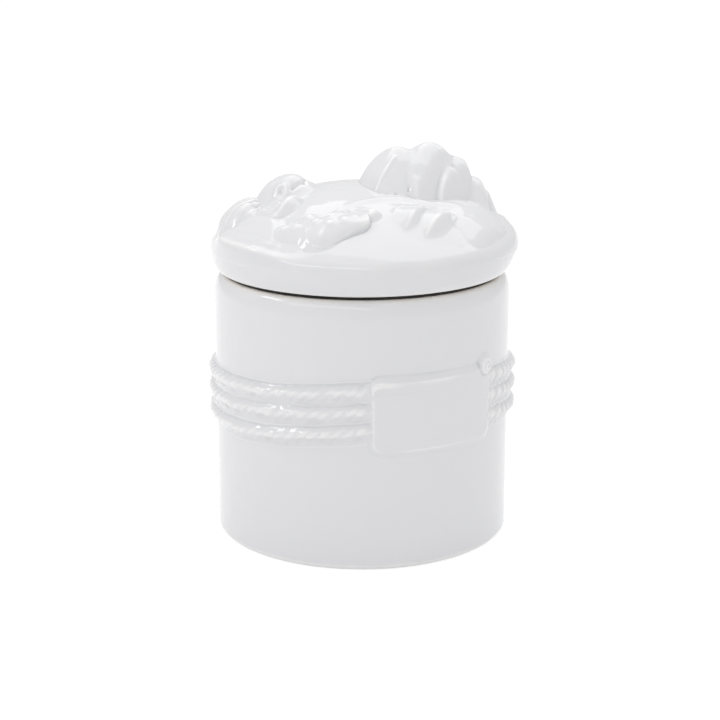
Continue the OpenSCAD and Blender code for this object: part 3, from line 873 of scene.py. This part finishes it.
def wound(x, y, apex, growth):
    """Groove that winds out from an apex in a logarithmic spiral: nought on a whorl and one in the groove.

    Its phase is the angle round the apex plus the logarithm of the distance over the growth.
    """
    squash, nearest, smooth, sharp = 1.25, 0.4, 3.5, 3
    ax, ay = x - apex[0], squash * (y - apex[1])
    far = np.hypot(ax, ay)
    phase = np.arctan2(ay, ax) + np.log(np.maximum(far, nearest)) / growth
    return (0.5 + 0.5 * np.cos(phase)) ** sharp * np.clip(far / smooth, 0, 1)


def eye(x, y, middle, radius):
    """Small ring with a dimple in it: a hump at a distance from its middle, less a hump at its middle."""
    ring_half, dimple_half, dimple = 0.4, 0.5, 1.3
    far = np.hypot(x - middle[0], y - middle[1]) / radius
    return np.exp(-((far - 1) / ring_half) ** 2) - dimple * np.exp(-(far / dimple_half) ** 2)


def fanned(x, y, hinge, count):
    """Furrows that fan out from a hinge, with so many to a full turn: nought on a rib and one in a furrow."""
    smooth, sharp = 9, 1.6
    hx, hy = x - hinge[0], y - hinge[1]
    furrow = (0.5 + 0.5 * np.cos(count * np.arctan2(hy, hx))) ** sharp
    return furrow * np.clip(np.hypot(hx, hy) / smooth, 0, 1)


def relief_rows(middle, foot, height, rings=84, bearings=220):
    """Rows of a piece of relief on the lid, over a footprint given as a radius for each bearing.

    The upper face lies at the lid's face plus a height worked out from the place, with its foot filled, its
    border faded out under the lid's face and a slow wave where glaze has run. The lower face is pressed into
    the lid. The footprint ends short of the lid's edge.
    """
    # Distance kept from the lid's edge, width of the faded border, height at which relief begins, how far and
    # over what height its border goes under the lid's face, and height over which the wave grows
    clear, faded, begins, under, over, grows = 0.6, 3.5, 0.3, 0.07, 0.3, 2
    s, r = lid_shape(), sizes("relief_sizes")
    a = np.linspace(0, TAU, bearings, endpoint=False)[None]
    towards = middle[0] * np.cos(a) + middle[1] * np.sin(a)
    room = np.sqrt(towards ** 2 + (LID_R - clear) ** 2 - middle[0] ** 2 - middle[1] ** 2) - towards
    radius = np.minimum(foot(a), room)
    reach = np.concatenate(([0.006], np.linspace(0.02, 1, rings)))[:, None]
    x = middle[0] + reach * radius * np.cos(a)
    y = middle[1] + reach * radius * np.sin(a)
    face = lid_face(s, x, y)
    border = np.clip((1 - reach) * radius / faded, 0, 1)
    rise = filled(height(x, y) - begins, r.fillet) - filled(-begins, r.fillet)
    rise = rise * border * border * (3 - 2 * border)
    run = r.run * np.clip(rise / grows, 0, 1) * sway(x / 2.6, y / 2.2, 0.9)
    top = np.stack((x, y, face + rise + run - under * np.exp(-rise / over)), axis=-1)
    seat = np.stack((x, y, face - r.seat), axis=-1)[::-8]
    return on_jar(np.concatenate((top, seat)))


def egg_foot(turn, fore, aft, left, right, margin=3.5):
    """Footprint of an egg with a reach to each of its four sides, and a margin for its fillet.

    Its radius is one over the root of the squared cosine and sine, each over its side's squared reach.
    """
    def radius(a):
        c, s = np.cos(a - math.radians(turn)), np.sin(a - math.radians(turn))
        return 1 / np.hypot(c / np.where(c > 0, fore, aft), s / np.where(s > 0, left, right)) + margin
    return radius


def add_relief(node, rows):
    """Adds a piece of the lid's relief."""
    add_piece(node + "_glazed", rows, "lid", node, [glazed_earthenware])


class CANDYJAR_OT_spiral_shells(bpy.types.Operator):
    """Shells that wind outwards from an apex: whelk, moon shell, turban and spindle"""

    bl_idname = "candy_jar.spiral_shells"
    bl_label = "Spiral shells"

    # Middle, then turn in degrees and reach to four sides
    PLACES = {
        "whelk": ((-31.5, -1), (5, 11.5, 10.5, 9, 10.5)),
        "moon": ((-28.4, -21), (50, 9, 9, 10.5, 7)),
        "turban": ((43, 8), (108, 13, 13, 8, 7)),
        "spindle": ((23.6, 37.1), (-32, 14.5, 13.5, 7, 7)),
    }

    def execute(self, context):
        groove = sizes("relief_sizes").groove
        for name, (middle, reach) in self.PLACES.items():
            form = getattr(self, name)

            def height(x, y):
                """Height of the shell over the lid, from its body's egg."""
                return form(x, y, egg(x, y, middle, *reach), groove)
            add_relief(name + "_shell", relief_rows(middle, egg_foot(*reach, margin=5), height))
        return {"FINISHED"}

    def whelk(self, x, y, body, groove):
        """Broad egg with whorls round an eye on its front, and a lip that hooks round its right end."""
        apex = (-31, -10)
        lip = merged([skirt(0.7, bar(x, y, start, end, 0.9, 0.9))
                      for start, end in (((-22, 1), (-22.4, -5)), ((-22.4, -5), (-26.5, -9)))])
        whorls = groove * wound(x, y, apex, growth=0.3)
        return mound(8.2, body, steep=1.6) - whorls + 0.35 * eye(x, y, apex, radius=2) - lip

    def moon(self, x, y, body, groove):
        """Round shell with whorls, a steep face on its right and a pit on its front."""
        lean = leaning(x, y, (-27.6, -20.6), -35, 4.8, 0.2, 1, 0.06)
        pit = skirt(0.8, egg(x, y, (-32.4, -28), 0, 1.1, 1.1, 0.9, 0.9))
        shell = soft_low([mound(5, body, steep=2), lean], blend=0.4)
        return shell - groove * wound(x, y, (-34, -19.5), growth=0.22) - pit

    def turban(self, x, y, body, groove):
        """Long shell with a fold along its right side."""
        fold = skirt(1.8, bar(x, y, (45.5, 15), (49.5, -4), 1.1, 1.3))
        return mound(9.4, body, steep=2) - groove * wound(x, y, (41, 19), growth=0.25) - fold

    def spindle(self, x, y, body, groove):
        """Long shell with whorls round one end and a slit for a mouth."""
        slit = skirt(1.8, bar(x, y, (20, 37), (11, 43.5), 1.4, 0.8))
        return lump(6, body, power=0.62) - 1.6 * groove * wound(x, y, (32, 31.5), growth=0.21) - slit


class CANDYJAR_OT_ribbed_shells(bpy.types.Operator):
    """Shells whose ribs fan out from a hinge: cockle, rim shell and scallop"""

    bl_idname = "candy_jar.ribbed_shells"
    bl_label = "Ribbed shells"

    # Middle, turn in degrees and reach to four sides, height, steepness, hinge, ribs to a turn, rib depth
    PLACES = {
        "cockle_shell": ((-47.5, -5), (95, 14, 13, 9.5, 9), 6.4, 2, (-33, -1), 26, 0.75),
        "rim_shell": ((47, -22), (60, 14, 14, 19, 9), 3.6, 1.3, (40, -44), 20, 0.1),
        "scallop_shell": ((-28.1, 34.3), (129, 10, 8.5, 8.6, 8.6), 3.8, 2.2, (-21.5, 26), 30, 0.7),
    }
    # Crest, direction in degrees, height, slopes and bend of the face that cuts off the rim shell
    CUT = (48, -25), -34, 3.2, 0.1, 0.85, 0.006

    def execute(self, context):
        rib = sizes("relief_sizes").rib
        for node, (middle, reach, high, steep, hinge, count, deep) in self.PLACES.items():
            def form(x, y):
                """Egg with furrows between ribs, and faint rings of growth round the hinge."""
                ring_share, ring_step, grows = 0.12, 4.2, 1.5
                far = np.hypot(x - hinge[0], y - hinge[1])
                furrow = fanned(x, y, hinge, count) + ring_share * np.cos(TAU * far / ring_step)
                body = mound(high, egg(x, y, middle, *reach), steep)
                if node == "rim_shell":
                    body = soft_low([body, leaning(x, y, *self.CUT)], blend=0.4)
                return body - rib * deep * furrow * np.clip(body / grows, 0, 1)
            add_relief(node, relief_rows(middle, egg_foot(*reach), form))
        return {"FINISHED"}


class CANDYJAR_OT_starfish(bpy.types.Operator):
    """Large starfish with beads and a pebble at its tip, and a small one with fat petals"""

    bl_idname = "candy_jar.starfish"
    bl_label = "Starfish"

    MIDDLE = (-14, -43)
    # Height and half width in the middle, and radius of a bead
    MIDDLE_HIGH, MIDDLE_HALF, BEAD_R = 3, 7, 1.8
    # Tip, half width at the tip, height at the tip and roundness of each arm
    ARMS = (((-1.8, -39.6), 5, 5.8, 0.4), ((-8, -34), 4.6, 2.6, 1), ((-20, -34), 4.6, 2.4, 1),
            ((-27.4, -37.2), 5.4, 2, 1), ((-17.4, -44.8), 5.8, 2.6, 1))
    BEADS = ((-17, -39), (-11.6, -42.4), (-24.4, -38.6), (-15, -46.9), (-6.5, -41), (-20.5, -42.3),
             (-11.5, -36.5), (-19.5, -34.8), (-2.4, -39.8), (-28.5, -37), (-7.6, -33.2))
    # Crest, direction in degrees, height, slopes of both faces and bend of the face that cuts off the first
    # arm, of the pebble at its tip and of the small star's petals
    CUT = (-6.8, -45.2), -74, 4.7, 0.2, 1.5, 0.008
    TIP_PEBBLE = (4.6, -34.6), -38, 3, 0.3, 1, 0.09
    PETALS = (((19.6, -32.2), -24, 3.8, 0.3, 0.85, 0.032), ((28.2, -32.6), -28, 4.4, 0.4, 0.8, 0.03),
              ((34.8, -26.6), -30, 2.2, 0.2, 0.8, 0.08))
    SMALL_MIDDLE = (26.5, -33.5)
    # Middle, turn in degrees and reach to four sides of the small star's body
    SMALL_BODY = (27, -32), 15, 13, 14, 9, 10

    def execute(self, context):
        large_foot = egg_foot(12, 21, 19.5, 15, 10.5)
        small_foot = egg_foot(20, 13, 14, 10, 12, margin=5)
        add_relief("starfish", relief_rows(self.MIDDLE, large_foot, self.large, 120, 340))
        add_relief("small_starfish", relief_rows(self.SMALL_MIDDLE, small_foot, self.small, 110, 300))
        return {"FINISHED"}

    def large(self, x, y):
        """Soft highest of five round bars that run out from the middle, with beads here and there.

        The first bar is cut off by a face that leans to the front.
        """
        arms = []
        for tip, half, high, roundness in self.ARMS:
            bearing = math.degrees(math.atan2(tip[1] - self.MIDDLE[1], tip[0] - self.MIDDLE[0]))
            u, _ = turned_axes(x - self.MIDDLE[0], y - self.MIDDLE[1], bearing)
            t = np.clip(u / math.dist(tip, self.MIDDLE), 0, 1)
            top = self.MIDDLE_HIGH + t * (high - self.MIDDLE_HIGH)
            arms.append(lump(top, bar(x, y, self.MIDDLE, tip, self.MIDDLE_HALF, half), roundness))
        arms[0] = soft_low([arms[0], leaning(x, y, *self.CUT)], blend=0.4)
        pebble = leaning(x, y, *self.TIP_PEBBLE)
        beads = sum(spot(x - bead[0], y - bead[1], self.BEAD_R) for bead in self.BEADS)
        return soft_top([*arms, pebble], blend=0.6) + sizes("relief_sizes").bead * beads

    def small(self, x, y):
        """Soft highest of petals that lean over to the right, on a low body."""
        body = mound(1.2, egg(x, y, *self.SMALL_BODY), steep=1.8)
        return soft_top([body, *(leaning(x, y, *petal) for petal in self.PETALS)], blend=0.4)


class CANDYJAR_OT_knob(bpy.types.Operator):
    """Fat shell of three leaning flutes, which is the lid's knob"""

    bl_idname = "candy_jar.knob"
    bl_label = "Shell knob"

    MIDDLE = (18.6, -4.2)
    # Place of a fold's cap, its height over the crown there, how it bends to the left and right and where its
    # right face stands, then the height of its left, front and upper faces at that place and their slopes to
    # the right and back
    FOLDS = (((12.5, -3), 12, 0.07, 0.045, 7.2, ((13, 0.75, 0.42), (12.6, -0.3, 1.075), (11.2, 0, 0.72))),
             ((25.9, -2), 13.6, 0.06, 0.085, 7.2, ((14.2, 0.5, 0.62), (13.6, -1.0, 1.4), (11.6, -0.2, 0.88))),
             ((33.4, -1), 8.4, 0.1, 0.05, 6.8, ((9.8, 0.8, 0.58), (12.7, -1.5, 1.63), (7.6, -0.3, 0.68))))
    # Pits at the feet of the folds
    PITS = (4.6, -20), (9, -17), (12.6, -16.2), (17.6, -14)

    def execute(self, context):
        add_relief("fluted_shell_knob",
                   relief_rows(self.MIDDLE, egg_foot(20, 26, 26, 20, 19.5), self.height, 170, 400))
        return {"FINISHED"}

    def height(self, x, y):
        """Soft highest of three leaning folds.

        A fold is the soft lowest of flat left, front and upper faces, a cap and a back that bend in one
        parabola, and a steep right face. A crest runs down the first fold, a dent and a nick lie on the other
        two, and pits lie at the feet.
        """
        # The cap's height over the arch, its bend and the place of its top, the back's height and slope,
        # and the slope of the right face
        cap_high, cap_bend, cap_at, back_high, back_slope, right_slope = 1.9, 0.04, 5, 14, 1.5, 3
        folds = []
        for (mx, my), high, bend_left, bend_right, ends, flats in self.FOLDS:
            dx, dy = x - mx, y - my
            arch = high - np.where(dx > 0, bend_right, bend_left) * dx ** 2
            cap = arch + cap_high - cap_bend * (dy - cap_at) ** 2
            faces = [level + to_right * dx + to_back * dy for level, to_right, to_back in flats]
            back = arch + back_high - back_slope * dy
            right = high + right_slope * (ends - dx)
            folds.append(soft_low([cap, *faces, back, right], blend=0.95))
        crest = skirt(0.55, bar(x, y, (12.3, -3.4), (2.2, -19.5), 1, 0.8))
        dent = skirt(0.3, egg(x, y, (20.6, -9.5), 0, 1.4, 1.4, 1.6, 1.6))
        nick = skirt(0.45, bar(x, y, (34.6, -1.4), (39, -2.4), 0.9, 0.9))
        pits = sum(skirt(0.45, egg(x, y, pit, 0, 0.8, 0.8, 0.7, 0.7)) for pit in self.PITS)
        over = CROWN_Z - lid_face(lid_shape(), x, y)
        return soft_top(folds, blend=0.7) + over + crest - dent - nick - pits


# Stage

class CANDYJAR_OT_stage(bpy.types.Operator):
    """Pale floor, soft light from overhead and the viewer's camera"""

    bl_idname = "candy_jar.stage"
    bl_label = "Stage"

    def execute(self, context):
        look = sizes("stage_look")
        scene = context.scene
        scene.view_settings.view_transform = "Standard"
        self.floor(scene)
        self.world(scene, look)
        self.lamp("top panel", (0.12, 0.4, 0.9), 1.2, 0.95, look.panel)
        self.lamp("window", (-0.76, -0.03, 0.65), 0.42, 0.17, look.window)
        self.lamp("strip", (-0.35, -0.68, 0.64), 1.4, 0.1, look.strip)
        self.camera(scene)
        return {"FINISHED"}

    def floor(self, scene):
        """A flat disc just under the jar, in rings of points from a small one outwards."""
        smallest, largest, below = 0.01, 6, 0.0001
        radius = np.linspace(smallest, largest, 24)[:, None]
        a = np.linspace(0, TAU, 96, endpoint=False)[None]
        rings = np.stack((radius * np.cos(a), radius * np.sin(a), -below + 0 * radius * a), axis=-1)
        count, n = rings.shape[:2]
        index = np.arange(count * n).reshape(count, n)
        after = np.roll(index, -1, axis=1)
        quads = np.stack((index[:-1], index[1:], after[1:], after[:-1]), axis=-1).reshape(-1, 4)
        mesh = bpy.data.meshes.new("floor")
        mesh.from_pydata(rings.reshape(-1, 3).tolist(), [], quads.tolist() + [index[0].tolist()])
        mesh.materials.append(finish(painted_floor))
        floor = bpy.data.objects.new("floor", mesh)
        scene.collection.objects.link(floor)

    def world(self, scene, look):
        """Pale light from all round, a little stronger from the viewer's right, where no lamp stands."""
        scene.world = bpy.data.worlds.new("studio")
        scene.world.use_nodes = True
        tree = scene.world.node_tree
        tree.nodes.clear()
        direction = add_node(tree, "ShaderNodeTexCoord").outputs["Generated"]
        right = (math.cos(LID_BEARING), math.sin(LID_BEARING), 0)
        towards = add_node(tree, "ShaderNodeVectorMath", {0: direction, 1: right}, operation="DOT_PRODUCT")
        strength = add_node(tree, "ShaderNodeMath", {0: towards.outputs["Value"], 1: look.tilt * look.ambient,
                                                     2: look.ambient}, operation="MULTIPLY_ADD")
        sky = add_node(tree, "ShaderNodeBackground", {"Color": (1, 1, 1, 1), "Strength": strength})
        add_node(tree, "ShaderNodeOutputWorld", {"Surface": sky})

    def lamp(self, name, direction, width, height, power):
        """A softbox that faces the jar's rim from a distance, in a direction in the viewer's frame."""
        distance = 1.2
        light = bpy.data.lights.new(name, "AREA")
        light.shape = "RECTANGLE"
        light.size, light.size_y = width, height
        light.energy = power
        lamp = bpy.data.objects.new(name, light)
        bpy.context.scene.collection.objects.link(lamp)
        towards = Matrix.Rotation(LID_BEARING, 3, "Z") @ Vector(direction).normalized()
        lamp.location = towards * distance + Vector((0, 0, JAR_H * MM))
        lamp.rotation_euler = (-towards).to_track_quat("-Z", "Y").to_euler()

    def camera(self, scene):
        """The camera stands in front of the jar's left, a little above it."""
        # Distance and height in metres and pitch in radians, then the picture's width, the focal length and
        # the column of the jar's axis in pixels
        back, above, pitch = 0.6684, 0.2508, 0.2699
        frame_px, focal_px, axis_px = 720, 1754.19, 362.07
        lens = bpy.data.cameras.new("viewer")
        lens.sensor_width = 36
        lens.lens = lens.sensor_width * focal_px / frame_px
        lens.shift_x = -(axis_px - frame_px / 2) / frame_px
        lens.clip_start = 0.01
        camera = bpy.data.objects.new("viewer", lens)
        scene.collection.objects.link(camera)
        camera.location = (back * math.sin(LID_BEARING), -back * math.cos(LID_BEARING), above)
        camera.rotation_euler = (math.pi / 2 - pitch, 0, LID_BEARING)
        scene.camera = camera


class CANDYJAR_PT_panel(bpy.types.Panel):
    bl_idname = "CANDYJAR_PT_panel"
    bl_label = "Candy jar"
    bl_space_type = "VIEW_3D"
    bl_region_type = "UI"
    bl_category = "Candy jar"

    def draw(self, context):
        for operator in OPERATORS:
            self.layout.operator(operator.bl_idname)
        for name, group in GROUPS.items():
            box = self.layout.box()
            box.label(text=name.replace("_", " ").capitalize())
            for key in group.__annotations__:
                box.prop(getattr(context.scene, "candy_jar_" + name), key)


OPERATORS = (
    CANDYJAR_OT_stage,
    CANDYJAR_OT_jar_body,
    CANDYJAR_OT_ropes,
    CANDYJAR_OT_plaque,
    CANDYJAR_OT_seal,
    CANDYJAR_OT_lid_cap,
    CANDYJAR_OT_spiral_shells,
    CANDYJAR_OT_ribbed_shells,
    CANDYJAR_OT_starfish,
    CANDYJAR_OT_knob,
)


def register():
    for name, group in GROUPS.items():
        bpy.utils.register_class(group)
        setattr(bpy.types.Scene, "candy_jar_" + name, PointerProperty(type=group))
    for cls in (*OPERATORS, CANDYJAR_PT_panel):
        bpy.utils.register_class(cls)


def unregister():
    for cls in (CANDYJAR_PT_panel, *reversed(OPERATORS)):
        bpy.utils.unregister_class(cls)
    for name, group in GROUPS.items():
        delattr(bpy.types.Scene, "candy_jar_" + name)
        bpy.utils.unregister_class(group)


def main():
    register()
    for operator in OPERATORS:
        getattr(bpy.ops.candy_jar, operator.bl_idname.split(".")[1])()


if __name__ == "__main__":
    main()
